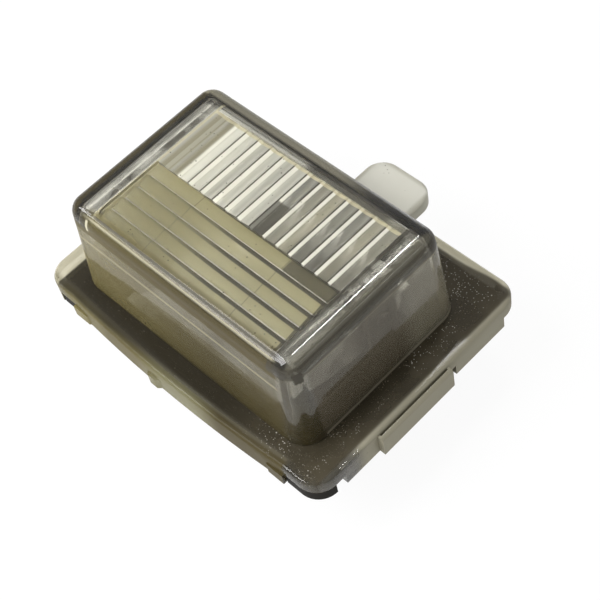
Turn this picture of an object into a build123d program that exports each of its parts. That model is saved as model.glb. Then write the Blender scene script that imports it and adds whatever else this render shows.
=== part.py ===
from build123d import *
import os
from math import radians, tan

# Number plate lamp lying on its back, dome up, in millimetres.
# X runs along the lamp and +Y points to the finger tab. The origin is the middle of the lamp's box,
# at the plane that it rests on.

# Lens
dome_length = 52.8  # at its foot, as are the width and corner
dome_width = 35.2
dome_corner = 4.2
dome_height = 19.6
dome_draft = 4.2  # degrees
dome_fillet = 2.6
end_ledge = 5.6  # flange beyond the dome's foot
front_ledge = 3.8
back_ledge = 7.8
flange_corner = 4.0
flange_thickness = 2.5
lens_wall = 2.0
ceiling_chamfer = 0.6
edge_chamfer = 0.5

# Finger tab
tab_width = 12.8
tab_reach = 7.0
tab_corner = 3.6
tab_x = 1.65
tab_root = 4.5  # how far it runs back under the flange

# Skirt that hangs from the flange's edge and locates it on the base, with its gaps
skirt_wall = 1.8
skirt_depth = 2.4
front_skirt_gap = 7.3  # left clear at each end of the front edge
corner_wrap = 3.5  # how far the left end's skirt runs round the front corner
near_skirt_gap = 6.0
near_skirt_length = 7.6
far_skirt_gap = 4.4
far_skirt_length = 11.5
back_skirt_gap = 4.5
back_skirt_length = 15.0
front_bow = 1.0  # how far the front edge bows out between its gaps
foot_length = 5.0  # sloped feet at the front skirt's ends and near its middle
foot_reach = 0.5
foot_slope = 40  # degrees
foot_middle_x = -4.0

# Latch lips in the middle of the short ends
latch_length = 16.0
latch_y = -2.2
latch_reach = 1.1
latch_root = 0.4
latch_drop = 0.5
latch_groove = 0.4
latch_groove_depth = 0.9
latch_round = 0.7

# Optics under the dome's roof
field_length = 40.0
field_x = 0.1
field_gap = 0.4  # to the dome's front wall
field_corner = 1.5
field_border = 1.0  # plain margin at the prisms' left end
divider_y = -0.65  # from the dome's centre
flute_count = 14
flute_pitch = 2.75
flute_lead = 0.9  # width of each flute's steep side
flute_depth = 0.45
flute_crown = 0.1
flute_width = 13.3
prism_count = 4
prism_pitch = 2.8
prism_depth = 0.9
optic_root = 0.6

# Base housing
rim_thickness = 2.3
rim_gap = 0.2  # air between the rim and the lens flange
rim_inset = 0.15  # where the rim comes out to the flange's edge
pad_depth = 4.0
skirt_clearance = 0.2
body_depth = 12.0
body_wall = 1.8
body_corner = 4.2
collar_wall = 1.2
collar_clearance = 0.2
floor_height = 8.6
floor_thickness = 1.6
lug_length = 6.0
lug_reach = 2.0
lug_height = 3.0
lug_edge = 1.0
lug_spacing = 26.0
panel_thickness = 2.0
panel_clearance = 0.3

# Plug socket in the underside
socket_length = 15.0
socket_width = 8.4
shroud_wall = 1.4
key_width = 2.4
key_depth = 0.9

# Seal between base and lens
seal_width = 1.8
seal_height = 1.2
seal_margin = 1.0
seal_clearance = 0.1

# Festoon bulb
bulb_back = 6.7  # from the bulb's axis to the well's back wall
bulb_length = 36.0
glass_radius = 5.2
glass_wall = 0.6
neck_radius = 3.5
cap_radius = 4.25
cap_length = 6.2
cap_floor = 1.0
cap_gap = 0.4  # between the cap's mouth and the glass's shoulder
cap_clearance = 0.05
nib_radius = 1.2
nib_length = 1.6
filament_radius = 0.25
filament_span = 11.0
filament_rise = 1.2

# Reflector tray
tray_wall = 1.0
tray_gap = 1.9  # between the floor and the underside of the trough
tray_rim_width = 1.0
tray_side_clearance = 0.3
tray_end_clearance = 0.5
bulb_clearance = 1.2

# Contact strips, which end as plug blades
strip_thickness = 0.8
strip_width = 6.3
strip_bend = 0.6
blade_spacing = 9.4
blade_recess = 0.8
arm_height = 4.6  # above the bulb's axis
arm_flare = 1.6
nib_clearance = 0.25
slot_clearance = 0.15

# Rivets that fix the strips to the floor
rivet_radius = 1.1
rivet_head_radius = 2.0
rivet_head_height = 0.6
rivet_hole_clearance = 0.05

# Retaining spring, clipped over the front wall's lower edge
spring_width = 9.0
spring_thickness = 0.5
spring_bow = 3.0
spring_return = 1.6  # how far the upper end stays out from the wall
spring_knee = 2.8  # heights of the bends
spring_crest = 6.6
spring_inner_leg = 5.0
spring_lift = 0.3
spring_clearance = 0.1
spring_bend = 0.55

# Heights
seat = body_depth
panel_back = seat - panel_thickness - panel_clearance
rim_top = seat + rim_thickness
flange_bottom = rim_top + rim_gap
flange_top = flange_bottom + flange_thickness
dome_top = flange_top + dome_height
ceiling = dome_top - lens_wall
floor_bottom = floor_height - floor_thickness
collar_top = flange_top
trough_bottom = floor_height + tray_gap + tray_wall
bulb_z = trough_bottom + bulb_clearance + glass_radius

# Plan sizes
flange_length = dome_length + 2 * end_ledge
flange_width = dome_width + front_ledge + back_ledge
dome_shift = (front_ledge - back_ledge) / 2
cavity_length = dome_length - 2 * lens_wall
cavity_width = dome_width - 2 * lens_wall
cavity_corner = dome_corner - lens_wall
collar_length = cavity_length - 2 * collar_clearance
collar_width = cavity_width - 2 * collar_clearance
collar_corner = cavity_corner - collar_clearance
well_length = collar_length - 2 * collar_wall
well_width = collar_width - 2 * collar_wall
well_corner = body_corner - body_wall
body_length = well_length + 2 * body_wall
body_width = well_width + 2 * body_wall
groove_length = collar_length + 2 * seal_margin
groove_width = collar_width + 2 * seal_margin
groove_corner = collar_corner + seal_margin

# Where the parts of the circuit stand along X
arm_inside = bulb_length / 2 - nib_length + strip_thickness / 4
shroud_end = socket_length / 2 + shroud_wall
rivet_x = (shroud_end + arm_inside) / 2

# The lamp's own planes: its plan is drawn about the flange's centre
centre_y = (front_bow + foot_reach - tab_reach) / 2
dome_y = centre_y + dome_shift
bulb_axis_y = dome_y + well_width / 2 - bulb_back
lamp = Plane((0, centre_y, 0))
dome_plane = Plane((0, dome_y, 0))


def along_x(x, y, z):
    """A plane facing +X whose own axes are Y and Z."""
    return Plane((x, y, z), x_dir=(0, 1, 0), z_dir=(1, 0, 0))


def along_y(x, y, z):
    """A plane facing -Y whose own axes are X and Z."""
    return Plane((x, y, z), x_dir=(1, 0, 0), z_dir=(0, -1, 0))


def plan_box(left, right, front, back):
    """Centre and size of a rectangle in plan."""
    return (left + right) / 2, (front + back) / 2, right - left, back - front


# Gaps in the lens's skirt, in plan about the flange's centre
end_x = flange_length / 2
edge_y = flange_width / 2
front_skirt_end = end_x - front_skirt_gap
near_skirt_start = near_skirt_gap - edge_y
near_skirt_end = near_skirt_start + near_skirt_length
far_skirt_end = edge_y - far_skirt_gap
far_skirt_start = far_skirt_end - far_skirt_length
back_skirt_end = end_x - back_skirt_gap
back_skirt_start = back_skirt_end - back_skirt_length
skirt_gaps = [
    plan_box(front_skirt_end, end_x, -edge_y, near_skirt_start),
    plan_box(corner_wrap - end_x, -front_skirt_end, -edge_y, flange_corner - edge_y),
    plan_box(-end_x, end_x, near_skirt_end, far_skirt_start),
    plan_box(-end_x, -back_skirt_end, far_skirt_end, edge_y),
    plan_box(back_skirt_end, end_x, far_skirt_end, edge_y),
    plan_box(-back_skirt_start, back_skirt_start, edge_y - skirt_wall, edge_y),
]

# The front edge's bow, in plan about the flange's centre
with BuildSketch() as front_bulge:
    with BuildLine():
        ThreePointArc((-front_skirt_end, -edge_y), (0, -edge_y - front_bow), (front_skirt_end, -edge_y))
        Line((-front_skirt_end, -edge_y), (front_skirt_end, -edge_y))
    make_face()

# Optics under the roof: flutes behind the divider, and a smooth strip and prisms before it
roof_inset = (ceiling - flange_top) * tan(radians(dome_draft))
field_front = field_gap + roof_inset - cavity_width / 2
field_back = divider_y + flute_width
with BuildPart() as optics:
    with BuildSketch(along_y(field_x + field_length / 2, dome_y + field_back, ceiling)):
        with BuildLine():
            for i in range(flute_count):
                right = -i * flute_pitch
                left = right - flute_pitch
                crest = left + flute_lead
                Line((left, 0), (crest, -flute_depth))
                crown = ((crest + right) / 2, -flute_depth / 2 - flute_crown)
                ThreePointArc((crest, -flute_depth), crown, (right, 0))
            Polyline((0, 0), (0, optic_root), (left, optic_root), (left, 0))
        make_face()
    extrude(amount=flute_width)
    field_left = field_x - field_length / 2
    prism_front = -(prism_count + 1) * prism_pitch
    with BuildSketch(along_x(field_left + field_border, dome_y + divider_y, ceiling)):
        with BuildLine():
            teeth = [(0, optic_root), (0, -prism_depth), (-prism_pitch, -prism_depth)]
            for i in range(1, prism_count + 1):
                teeth += [(-i * prism_pitch, 0), (-(i + 1) * prism_pitch, -prism_depth)]
            teeth.append((prism_front, optic_root))
            Polyline(*teeth, close=True)
        make_face()
    extrude(amount=field_length - field_border)
    with BuildSketch(along_x(field_left, dome_y + divider_y, ceiling)):
        with Locations((prism_front / 2, (optic_root - prism_depth) / 2)):
            Rectangle(-prism_front, optic_root + prism_depth)
    extrude(amount=field_border)
    with BuildSketch(dome_plane.offset(ceiling + optic_root)):
        with Locations((field_x, (field_front + field_back) / 2)):
            RectangleRounded(field_length, field_back - field_front, field_corner)
    extrude(amount=-optic_root - prism_depth, mode=Mode.INTERSECT)

# Lens: flange, tab, skirt, latch lips and dome
with BuildPart() as lens:
    with BuildSketch(lamp.offset(flange_bottom)):
        RectangleRounded(flange_length, flange_width, flange_corner)
        add(front_bulge.sketch)
        with Locations((tab_x, edge_y + (tab_reach - tab_root) / 2)):
            RectangleRounded(tab_width, tab_reach + tab_root, tab_corner)
    extrude(amount=flange_thickness)
    chamfer(lens.edges().group_by(Axis.Z)[-1], length=edge_chamfer)

    with BuildSketch(lamp.offset(flange_bottom)):
        RectangleRounded(flange_length, flange_width, flange_corner)
        add(front_bulge.sketch)
        RectangleRounded(
            flange_length - 2 * skirt_wall,
            flange_width - 2 * skirt_wall,
            flange_corner - skirt_wall,
            mode=Mode.SUBTRACT,
        )
        with Locations((0, skirt_wall)):
            add(front_bulge.sketch, mode=Mode.SUBTRACT)
        for x, y, length, width in skirt_gaps:
            with Locations((x, y)):
                Rectangle(length, width, mode=Mode.SUBTRACT)
        foot_depth = foot_reach + skirt_wall / 2
        foot_end_x = front_skirt_end - foot_length / 2
        for x, bow, left_slope, right_slope in (
            (-foot_end_x, 0, 90, foot_slope),
            (foot_middle_x, front_bow, foot_slope, foot_slope),
            (foot_end_x, 0, foot_slope, 90),
        ):
            with Locations((x, foot_depth / 2 - edge_y - bow - foot_reach)):
                Trapezoid(foot_length, foot_depth, right_slope, left_slope, rotation=180)
    extrude(amount=-skirt_depth)

    with BuildSketch(lamp.offset(flange_top - latch_drop)):
        for side in (-1, 1):
            with Locations((side * (end_x + (latch_reach - latch_root) / 2), latch_y)):
                Rectangle(latch_reach + latch_root, latch_length)
    extrude(amount=-(flange_thickness - latch_drop + skirt_depth))
    for side in (0, -1):
        lip = lens.faces().sort_by(Axis.X)[side]
        fillet(lip.edges().sort_by(Axis.Z)[-1], radius=latch_round)
    with BuildSketch(lamp.offset(flange_top)):
        for side in (-1, 1):
            with Locations((side * (end_x + latch_groove / 2), latch_y)):
                Rectangle(latch_groove, latch_length - 2 * latch_groove)
    extrude(amount=-latch_drop - latch_groove_depth, mode=Mode.SUBTRACT)

    with BuildSketch(dome_plane.offset(flange_top)):
        RectangleRounded(dome_length, dome_width, dome_corner)
    extrude(amount=dome_height, taper=dome_draft)
    roof_corner = dome_corner - dome_height * tan(radians(dome_draft))
    fillet(lens.edges().group_by(Axis.Z)[-1], radius=min(dome_fillet, 0.95 * roof_corner))

    with BuildSketch(dome_plane.offset(flange_bottom)):
        RectangleRounded(cavity_length, cavity_width, cavity_corner)
    extrude(amount=flange_thickness, mode=Mode.SUBTRACT)
    with BuildSketch(dome_plane.offset(flange_top)):
        RectangleRounded(cavity_length, cavity_width, cavity_corner)
    extrude(amount=ceiling - flange_top, taper=dome_draft, mode=Mode.SUBTRACT)
    ceiling_edges = lens.edges().filter_by_position(Axis.Z, ceiling - 0.01, ceiling + 0.01)
    chamfer(ceiling_edges, length=min(ceiling_chamfer, 0.8 * (cavity_corner - roof_inset)))
    add(optics.part)
lens.part.label = "lens"

# Base housing: rim, collar and well for the tray, with the plug socket underneath
with BuildPart() as housing:
    with BuildSketch(lamp.offset(seat)):
        RectangleRounded(flange_length - 2 * rim_inset, flange_width - 2 * rim_inset, flange_corner - rim_inset)
        pad_y = pad_depth / 2 - edge_y
        with Locations((0, pad_y)):
            Rectangle(flange_length, pad_depth, mode=Mode.INTERSECT)
            Rectangle(2 * (front_skirt_end + skirt_clearance), pad_depth, mode=Mode.SUBTRACT)
        with Locations(((corner_wrap + skirt_clearance) / 2 - end_x, pad_y)):
            Rectangle(corner_wrap + skirt_clearance, pad_depth, mode=Mode.SUBTRACT)
        skirt_room = skirt_wall + skirt_clearance
        RectangleRounded(flange_length - 2 * skirt_room, flange_width - 2 * skirt_room, flange_corner - skirt_room)
        with Locations((0, (near_skirt_end + far_skirt_start) / 2)):
            Rectangle(
                flange_length - 2 * (latch_root + skirt_clearance),
                far_skirt_start - near_skirt_end - 2 * skirt_clearance,
            )
    extrude(amount=rim_thickness)
    with BuildSketch(dome_plane):
        RectangleRounded(body_length, body_width, body_corner)
    extrude(amount=rim_top)
    with BuildSketch(dome_plane.offset(rim_top)):
        RectangleRounded(collar_length, collar_width, collar_corner)
    extrude(amount=collar_top - rim_top)

    with BuildSketch(dome_plane.offset(floor_height)):
        RectangleRounded(well_length, well_width, well_corner)
    extrude(amount=collar_top - floor_height, mode=Mode.SUBTRACT)
    with BuildSketch(dome_plane):
        RectangleRounded(well_length, well_width, well_corner)
    extrude(amount=floor_bottom, mode=Mode.SUBTRACT)

    with BuildSketch(Plane((0, bulb_axis_y, 0))):
        RectangleRounded(socket_length + 2 * shroud_wall, socket_width + 2 * shroud_wall, shroud_wall)
        Rectangle(socket_length, socket_width, mode=Mode.SUBTRACT)
        with Locations((0, -(socket_width + key_depth) / 2)):
            Rectangle(key_width, key_depth, mode=Mode.SUBTRACT)
    extrude(amount=floor_bottom)

    with BuildSketch(Plane((0, bulb_axis_y, floor_bottom))):
        for side in (-1, 1):
            with Locations((side * blade_spacing / 2, 0)):
                Rectangle(2 * (strip_bend + slot_clearance), strip_width + 2 * slot_clearance)
            with Locations((side * rivet_x, 0)):
                Circle(rivet_radius + rivet_hole_clearance)
    extrude(amount=floor_thickness, mode=Mode.SUBTRACT)

    with BuildSketch(dome_plane.offset(rim_top)):
        RectangleRounded(
            groove_length + 2 * seal_width, groove_width + 2 * seal_width, groove_corner + seal_width
        )
        RectangleRounded(groove_length, groove_width, groove_corner, mode=Mode.SUBTRACT)
    extrude(amount=-(seal_height - rim_gap), mode=Mode.SUBTRACT)

    # Fixed lugs on the back wall, which hook behind the panel
    for side in (-1, 1):
        with BuildSketch(along_x(side * lug_spacing / 2 - lug_length / 2, dome_y + body_width / 2, panel_back)):
            with BuildLine():
                Polyline(
                    (-body_wall / 2, 0),
                    (lug_reach, 0),
                    (lug_reach, -lug_edge),
                    (0, -lug_height),
                    (-body_wall / 2, -lug_height),
                    close=True,
                )
            make_face()
        extrude(amount=lug_length)

    # Notch in the front wall's lower edge for the spring
    notch_top = spring_lift + spring_thickness + spring_clearance
    with BuildSketch(Plane((0, dome_y - body_width / 2 + body_wall / 2, 0))):
        Rectangle(spring_width + 2 * spring_clearance, 2 * body_wall)
    extrude(amount=notch_top, mode=Mode.SUBTRACT)
housing.part.label = "base_housing"

# Seal that the lens flange presses into the base
with BuildPart() as seal:
    with BuildSketch(dome_plane.offset(flange_bottom)):
        RectangleRounded(
            groove_length + 2 * (seal_width - seal_clearance),
            groove_width + 2 * (seal_width - seal_clearance),
            groove_corner + seal_width - seal_clearance,
        )
        RectangleRounded(
            groove_length + 2 * seal_clearance,
            groove_width + 2 * seal_clearance,
            groove_corner + seal_clearance,
            mode=Mode.SUBTRACT,
        )
    extrude(amount=-seal_height)
seal.part.label = "lens_seal"

# Bulb: a glass tube with a necked end under each cap
bulb_plane = along_y(0, bulb_axis_y, bulb_z)
bulb_axis = Axis((0, bulb_axis_y, bulb_z), (1, 0, 0))
cap_end = bulb_length / 2 - nib_length
cap_mouth = cap_end - cap_length
glass_end = cap_end - cap_floor - cap_clearance
shoulder = cap_mouth - cap_gap
shoulder_length = glass_radius - neck_radius
with BuildPart() as bulb_glass:
    with BuildSketch(bulb_plane):
        with BuildLine():
            outline = [
                (-glass_end, neck_radius),
                (-shoulder, neck_radius),
                (-shoulder + shoulder_length, glass_radius),
                (shoulder - shoulder_length, glass_radius),
                (shoulder, neck_radius),
                (glass_end, neck_radius),
            ]
            bore = [(x, radius - glass_wall) for x, radius in reversed(outline)]
            Polyline(*outline, *bore, close=True)
        make_face()
    revolve(axis=bulb_axis)
bulb_glass.part.label = "bulb_glass"

# Caps: drawn metal cups with a nib that snaps into the contact
cap_inner = neck_radius + cap_clearance
cap_taper = cap_radius - cap_inner
caps = {}
for name, side in (("left", -1), ("right", 1)):
    with BuildPart() as cap:
        with BuildSketch(bulb_plane):
            with BuildLine():
                Polyline(
                    (side * cap_mouth, cap_inner),
                    (side * cap_mouth, cap_radius),
                    (side * (cap_end - cap_taper), cap_radius),
                    (side * cap_end, nib_radius),
                    (side * bulb_length / 2, nib_radius),
                    (side * bulb_length / 2, 0),
                    (side * (cap_end - cap_floor), 0),
                    (side * (cap_end - cap_floor), cap_inner),
                    close=True,
                )
            make_face()
        revolve(axis=bulb_axis)
    cap.part.label = f"bulb_cap_{name}"
    caps[name] = cap.part

# Filament with its lead wires, which run into the caps
lead_end = cap_end - cap_floor
with BuildPart() as filament:
    with BuildLine(bulb_plane):
        Polyline(
            (-lead_end, 0),
            (-filament_span / 2, 0),
            (-filament_span / 4, filament_rise),
            (filament_span / 4, filament_rise),
            (filament_span / 2, 0),
            (lead_end, 0),
        )
    with BuildSketch(along_x(-lead_end, bulb_axis_y, bulb_z)):
        Circle(filament_radius)
    sweep(transition=Transition.RIGHT)
filament.part.label = "bulb_filament"

# Reflector tray: an open-ended trough that hangs by its rims from the collar
tray_length = 2 * (arm_inside - tray_end_clearance)
with BuildPart() as tray:
    front = dome_y - well_width / 2 + tray_side_clearance
    back = dome_y + well_width / 2 - tray_side_clearance
    with BuildSketch(along_x(-tray_length / 2, 0, 0)):
        with BuildLine():
            for inset in (0, tray_wall):
                lowest = (bulb_axis_y, trough_bottom - tray_wall + inset)
                TangentArc(lowest, (front + inset, collar_top), tangent=(-1, 0))
                TangentArc(lowest, (back - inset, collar_top), tangent=(1, 0))
            Line((front, collar_top), (front + tray_wall, collar_top))
            Line((back, collar_top), (back - tray_wall, collar_top))
        make_face()
    extrude(amount=tray_length)
    with BuildSketch(Plane.XY.offset(collar_top)):
        for edge, inward in ((front, 1), (back, -1)):
            rim_middle = edge + inward * (tray_wall - tray_rim_width) / 2
            with Locations((0, rim_middle)):
                Rectangle(tray_length, tray_wall + tray_rim_width)
    extrude(amount=tray_wall)
tray.part.label = "reflector_tray"

# Contact strips: a spring arm at the bulb's cap, a run along the floor and a plug blade
contacts = {}
for name, side in (("left", -1), ("right", 1)):
    with BuildPart() as contact:
        with BuildSketch(along_y(0, bulb_axis_y + strip_width / 2, 0)):
            with BuildLine():
                FilletPolyline(
                    (side * (arm_inside + strip_thickness / 2 + arm_flare), bulb_z + arm_height + arm_flare),
                    (side * (arm_inside + strip_thickness / 2), bulb_z + arm_height),
                    (side * (arm_inside + strip_thickness / 2), floor_height + strip_thickness / 2),
                    (side * blade_spacing / 2, floor_height + strip_thickness / 2),
                    (side * blade_spacing / 2, blade_recess),
                    radius=strip_bend,
                )
                offset(amount=strip_thickness / 2, side=Side.BOTH)
            make_face()
        extrude(amount=strip_width)
        with BuildSketch(along_x(0, bulb_axis_y, bulb_z)):
            Circle(nib_radius + nib_clearance)
        extrude(amount=side * bulb_length, mode=Mode.SUBTRACT)
        with BuildSketch(Plane((side * rivet_x, bulb_axis_y, floor_height))):
            Circle(rivet_radius + rivet_hole_clearance)
        extrude(amount=strip_thickness, mode=Mode.SUBTRACT)
    contact.part.label = f"contact_{name}"
    contacts[name] = contact.part

# Rivets, with a head on the strip and another under the floor
rivets = {}
for name, side in (("left", -1), ("right", 1)):
    with BuildPart() as rivet:
        with BuildSketch(Plane((side * rivet_x, bulb_axis_y, floor_bottom))):
            Circle(rivet_radius)
        extrude(amount=floor_thickness + strip_thickness)
        with BuildSketch(Plane((side * rivet_x, bulb_axis_y, floor_height + strip_thickness))):
            Circle(rivet_head_radius)
        extrude(amount=rivet_head_height)
        with BuildSketch(Plane((side * rivet_x, bulb_axis_y, floor_bottom))):
            Circle(rivet_head_radius)
        extrude(amount=-rivet_head_height)
    rivet.part.label = f"contact_rivet_{name}"
    rivets[name] = rivet.part

# Retaining spring: a bent leaf that bows out behind the panel
wall_outside = dome_y - body_width / 2
wall_inside = wall_outside + body_wall
leg_gap = spring_clearance + spring_thickness / 2
with BuildPart() as spring:
    with BuildSketch(along_x(-spring_width / 2, 0, 0)):
        with BuildLine():
            FilletPolyline(
                (wall_inside + leg_gap, spring_inner_leg),
                (wall_inside + leg_gap, spring_lift + spring_thickness / 2),
                (wall_outside - leg_gap, spring_lift + spring_thickness / 2),
                (wall_outside - leg_gap, spring_knee),
                (wall_outside - spring_bow, spring_crest),
                (wall_outside - spring_return, panel_back - spring_thickness),
                radius=spring_bend,
            )
            offset(amount=spring_thickness / 2, side=Side.BOTH)
        make_face()
    extrude(amount=spring_width)
spring.part.label = "retaining_spring"

# One STEP file per piece
pieces = [lens.part, housing.part, seal.part, bulb_glass.part, *caps.values(), filament.part]
pieces += [tray.part, *contacts.values(), *rivets.values(), spring.part]
os.makedirs("parts", exist_ok=True)
for piece in pieces:
    export_step(piece, f"parts/{piece.label}.step")
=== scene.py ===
from functools import cached_property
from math import cos, radians, sin, tan

import bmesh
import bpy
from bpy.props import FloatProperty, FloatVectorProperty, PointerProperty
from mathutils import Matrix, Vector


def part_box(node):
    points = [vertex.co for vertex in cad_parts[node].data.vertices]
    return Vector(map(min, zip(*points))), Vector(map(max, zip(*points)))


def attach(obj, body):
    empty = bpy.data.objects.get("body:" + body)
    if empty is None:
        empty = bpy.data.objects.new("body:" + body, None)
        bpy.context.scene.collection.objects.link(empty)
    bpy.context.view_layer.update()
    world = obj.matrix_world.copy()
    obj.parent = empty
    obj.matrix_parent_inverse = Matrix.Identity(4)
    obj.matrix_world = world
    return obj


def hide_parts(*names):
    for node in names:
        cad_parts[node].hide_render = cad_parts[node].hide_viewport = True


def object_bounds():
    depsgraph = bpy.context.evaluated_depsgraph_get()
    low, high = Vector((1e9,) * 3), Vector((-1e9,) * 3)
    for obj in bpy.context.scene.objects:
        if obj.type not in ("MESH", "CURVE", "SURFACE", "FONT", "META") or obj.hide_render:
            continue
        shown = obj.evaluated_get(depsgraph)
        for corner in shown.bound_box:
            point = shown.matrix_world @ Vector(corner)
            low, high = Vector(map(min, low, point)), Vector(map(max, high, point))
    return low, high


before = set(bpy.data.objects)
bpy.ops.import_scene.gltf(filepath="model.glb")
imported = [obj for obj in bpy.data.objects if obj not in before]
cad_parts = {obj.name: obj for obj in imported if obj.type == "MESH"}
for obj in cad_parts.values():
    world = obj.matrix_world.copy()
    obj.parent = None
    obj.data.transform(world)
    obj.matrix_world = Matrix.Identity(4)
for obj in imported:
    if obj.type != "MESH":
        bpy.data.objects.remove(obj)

bl_info = {
    "name": "Number Plate Lamp",
    "version": (1, 0, 0),
    "blender": (4, 5, 0),
    "location": "View3D > Sidebar > Lamp",
    "description": "Dresses the number plate lamp: aged clear lens, dusty base, bright tray and bulb",
    "category": "Object",
}

MM = 0.001
BODY = "root"
CAD_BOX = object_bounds()

# Sizes of the lens, in millimetres
DOME_LENGTH, DOME_WIDTH, DOME_HEIGHT = 52.8, 35.2, 19.6
DOME_DRAFT = radians(4.2)
LENS_WALL = 2.0
END_LEDGE, FRONT_LEDGE, BACK_LEDGE = 5.6, 3.8, 7.8
FRONT_BOW, FRONT_SKIRT_GAP = 1.0, 7.3
TAB_X, TAB_WIDTH, TAB_REACH = 1.65, 12.8, 7.0
FIELD_X, FIELD_LENGTH = 0.1, 40.0
DIVIDER_OFFSET = -0.65
PRISM_PITCH = 2.8
FLUTE_PITCH, FLUTE_WIDTH = 2.75, 13.3

# Places on the lens, in millimetres: X runs to the right end, Y to the tab and Z up
TAB_END, DOME_TOP = (round(edge / MM, 3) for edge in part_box("lens")[1].yz)
CEILING = DOME_TOP - LENS_WALL
FLANGE_TOP = DOME_TOP - DOME_HEIGHT
FLANGE_BACK = TAB_END - TAB_REACH
DOME_CENTRE_Y = FLANGE_BACK - BACK_LEDGE - DOME_WIDTH / 2
FLANGE_FRONT = DOME_CENTRE_Y - DOME_WIDTH / 2 - FRONT_LEDGE
FLANGE_HALF_LENGTH = DOME_LENGTH / 2 + END_LEDGE
BOW_HALF_LENGTH = FLANGE_HALF_LENGTH - FRONT_SKIRT_GAP
FLAT_HALF_LENGTH, FLAT_HALF_WIDTH = 22.4, 13.6
FIELD_LEFT, FIELD_RIGHT = FIELD_X - FIELD_LENGTH / 2, FIELD_X + FIELD_LENGTH / 2
DIVIDER = DOME_CENTRE_Y + DIVIDER_OFFSET
FIELD_FRONT, FIELD_BACK = -18.7, DIVIDER + FLUTE_WIDTH


def colour(name, description, value):
    """A colour that the panel shows."""
    return FloatVectorProperty(
        name=name, description=description, default=value, size=3, min=0.0, max=1.0, subtype="COLOR"
    )


class LampColours(bpy.types.PropertyGroup):
    """Colours of the lamp's finishes, and of the shade, highlights and reflections painted on the lens."""

    clear: colour("Clear plastic", "Tint of the clear moulding's surface", (0.99, 0.99, 0.97))
    depth: colour("Plastic depth", "Colour that the plastic takes on where it is thick", (0.96, 0.93, 0.74))
    khaki: colour("Prisms", "Yellowed film under the prisms", (0.275, 0.252, 0.125))
    # Painted reflection of the bright tray under the flutes, and painted highlights on the flutes' ridges and
    # beside the prisms' steps
    white_reflection: colour("Flutes", "White film under the flutes and along the prisms' edges", (0.96, 0.96, 0.95))
    # The dull and grey flute films are the darker parts of that painted reflection
    ash: colour("Dull flutes", "Brownish film under the duller flutes", (0.47, 0.445, 0.375))
    smoke: colour("Grey flutes", "Grey film under the darker flutes", (0.27, 0.27, 0.275))
    # Painted light: the rim's paleness stands for light coming through the plastic's edges, and the pale
    # lines on the roof, front wall and flutes are painted highlights
    pale_light: colour("Pale edges", "Yellowed film on the rim and in pale lines", (0.60, 0.56, 0.41))
    # Part of the rim's painted light, at the front's middle
    edge: colour("Front rim", "Greenish film at the middle of the front rim", (0.20, 0.185, 0.085))
    stone: colour("Grey edges", "Greyer film on the right rim, tab and roof", (0.27, 0.252, 0.185))
    olive: colour("Olive film", "Greenish film at the left of the roof and rim", (0.17, 0.145, 0.06))
    # Also painted shade on the roof's left shoulder, on the front shoulder's brow and along the front wall's
    # top
    moss: colour("Dark olive film", "Darker film on the roof's edge and the rim", (0.062, 0.048, 0.015))
    sage: colour("Front wall", "Yellow-green film on the front wall", (0.160, 0.133, 0.050))
    fern: colour("Front wall, right", "Darker film towards the near corner", (0.068, 0.053, 0.016))
    haze: colour("Right wall", "Brownish grey film on the right wall", (0.102, 0.085, 0.055))
    soot: colour("Inside right", "Dark film inside the right wall and on the flange", (0.085, 0.070, 0.042))
    deck: colour("Flange", "Dark brown film over the flange", (0.0185, 0.0147, 0.0068))
    frost: colour("Tab", "Frosted finger tab", (0.70, 0.69, 0.61))
    dust: colour("Dust", "Pale dust and specks", (0.66, 0.63, 0.56))
    # Grime, and also painted shade: dark lines along the prisms' steps and the flutes' grooves, the roof's
    # margins and gutter, and the shaded flutes
    grime_and_shade: colour("Grime", "Dark grime in lines, margins and spots", (0.045, 0.040, 0.029))
    base: colour("Base", "Black moulded base", (0.014, 0.013, 0.011))
    soil: colour("Soil", "Brown dust on the base", (0.06, 0.05, 0.038))
    tray: colour("Tray", "Bright metallised tray", (0.88, 0.88, 0.87))
    brass: colour("Contact", "Tinned contact strip", (0.74, 0.70, 0.58))
    rivet: colour("Rivet", "Brass rivet", (0.66, 0.52, 0.27))
    glass: colour("Bulb glass", "Clear bulb glass", (0.98, 0.98, 0.97))
    cap: colour("Bulb cap", "Plated bulb cap", (0.74, 0.73, 0.70))
    steel: colour("Spring", "Spring steel", (0.42, 0.42, 0.43))
    rubber: colour("Seal", "Dusty black rubber", (0.045, 0.040, 0.033))
    wire: colour("Filament", "Tungsten wire", (0.20, 0.19, 0.19))
    floor: colour("Floor", "Plain pale floor", (0.90, 0.90, 0.90))


class LampStage(bpy.types.PropertyGroup):
    """Camera and light."""

    azimuth: FloatProperty(
        name="Azimuth", description="Camera's bearing round the lamp", default=radians(55.7), subtype="ANGLE"
    )
    elevation: FloatProperty(
        name="Elevation", description="Camera's angle above the floor", default=radians(54.4), subtype="ANGLE"
    )
    roll: FloatProperty(
        name="Roll", description="Camera's turn about its view", default=radians(-13.8), subtype="ANGLE"
    )
    distance: FloatProperty(
        name="Distance", description="From the camera to the point it looks at", default=0.238, unit="LENGTH"
    )
    aim: FloatVectorProperty(
        name="Aim",
        description="Point that the camera looks at",
        default=(0.0057, -0.00276, 0.017),
        unit="LENGTH",
    )
    focal: FloatProperty(name="Lens", description="Camera's focal length in millimetres", default=89.0)
    world: FloatProperty(name="World", description="Strength of the even light all round", default=0.55)
    key: FloatProperty(
        name="Key light", description="Power of the large panel above the front left, in watts", default=2.7
    )
    edge: FloatProperty(
        name="Edge light", description="Power of the small panel above the back, in watts", default=0.30
    )


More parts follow.
